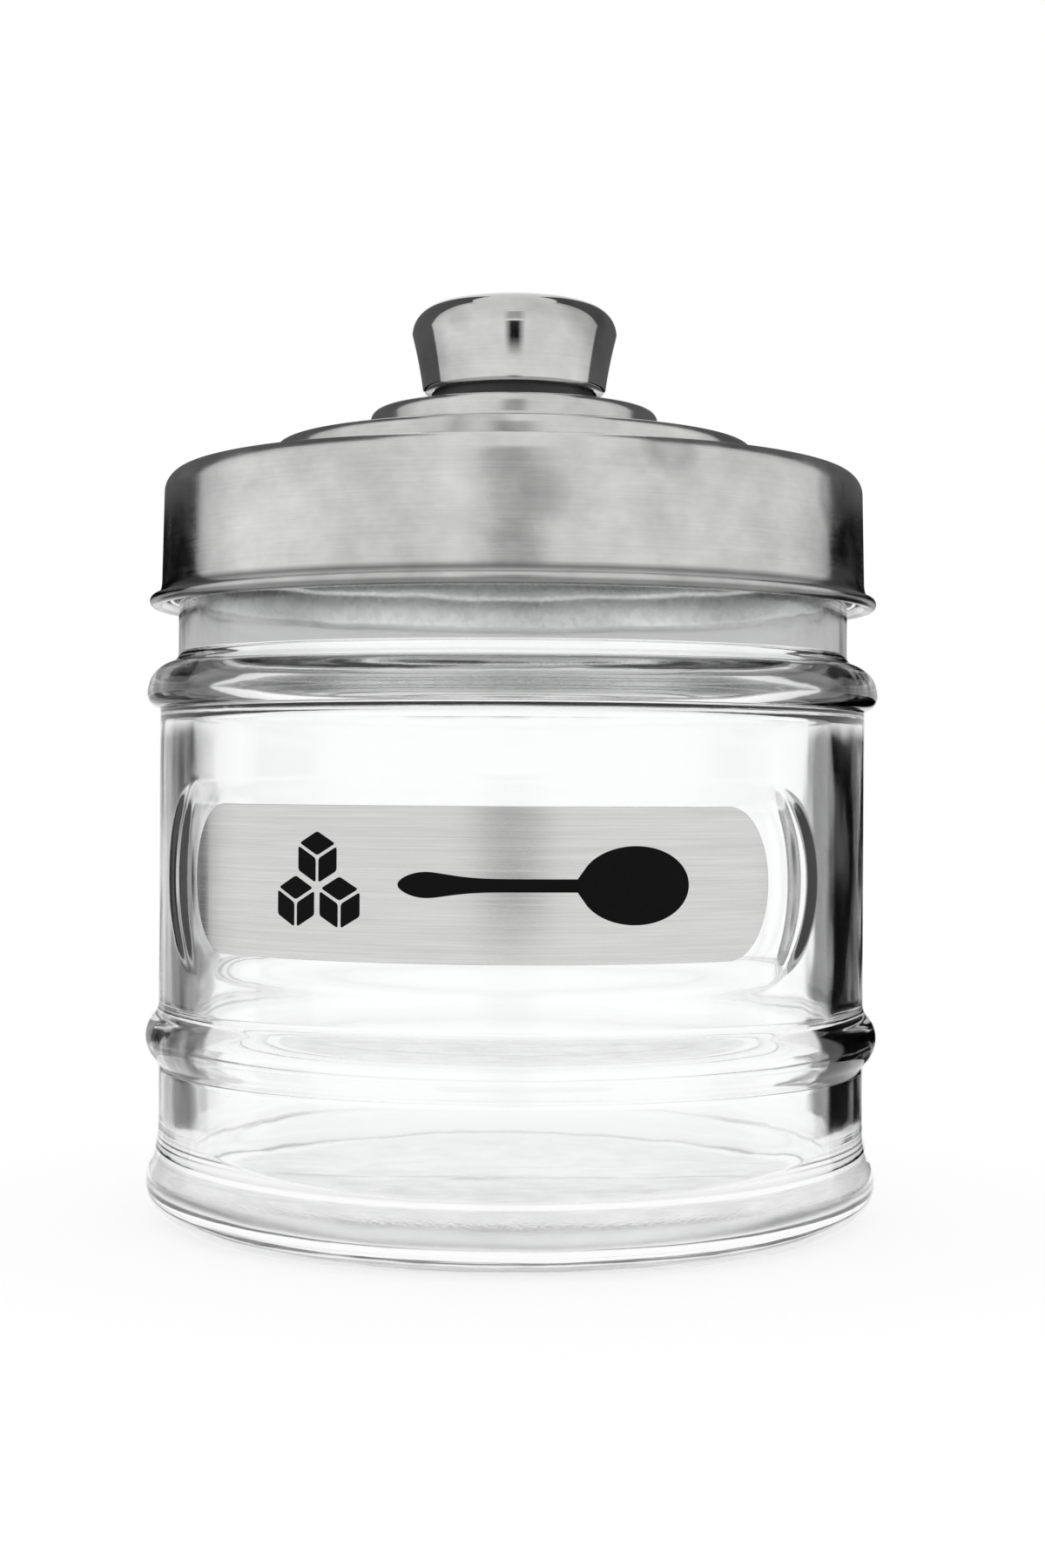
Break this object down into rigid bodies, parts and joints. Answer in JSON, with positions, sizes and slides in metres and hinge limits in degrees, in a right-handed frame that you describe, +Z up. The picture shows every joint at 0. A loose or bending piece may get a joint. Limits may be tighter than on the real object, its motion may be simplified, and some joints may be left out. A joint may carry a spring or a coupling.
{
  "type": "glass sugar jar with push-on steel lid",
  "caption": "Straight-sided clear glass jar with moulded rings and a steel label plate, closed by a stepped push-on steel lid with a seal ring and a flared hollow knob.",
  "frame": {"origin": "centre of the jar's resting ring, on the plane that it stands on", "axes": "+Z up along the jar's axis; the label faces -Y; +X to the right seen from the label's side"},
  "size_m": [0.114, 0.114, 0.1437],
  "materials": {
    "clear_glass": "clear pressed soda-lime glass, fire polished",
    "adhesive_film": "double-sided adhesive film",
    "label_steel": "fine brushed along its length",
    "seal_rubber": "soft translucent elastomer",
    "lid_steel": "satin, turned round the axis",
    "knob_steel": "satin, spun round the axis",
    "black_plastic": "moulded",
    "zinc_steel": "zinc plated"
  },
  "bodies": {
    "jar": {"glass_jar": "clear_glass", "label_adhesive": "adhesive_film", "label_plate": "label_steel"},
    "seal": {"lid_seal_ring": "seal_rubber"},
    "lid": {"lid_shell": "lid_steel", "knob_cap": "knob_steel", "knob_base": "black_plastic", "screw_washer": "zinc_steel", "knob_screw": "zinc_steel"}
  },
  "joints": [
    {"name": "lid_lift", "type": "slide", "parent": "jar", "child": "seal", "axis": [0, 0, 1], "range_m": [0, 0.06]},
    {"name": "lid_turn", "type": "hinge", "parent": "seal", "child": "lid", "pos_m": [0, 0, 0.115], "axis": [0, 0, 1], "continuous": true}
  ]
}
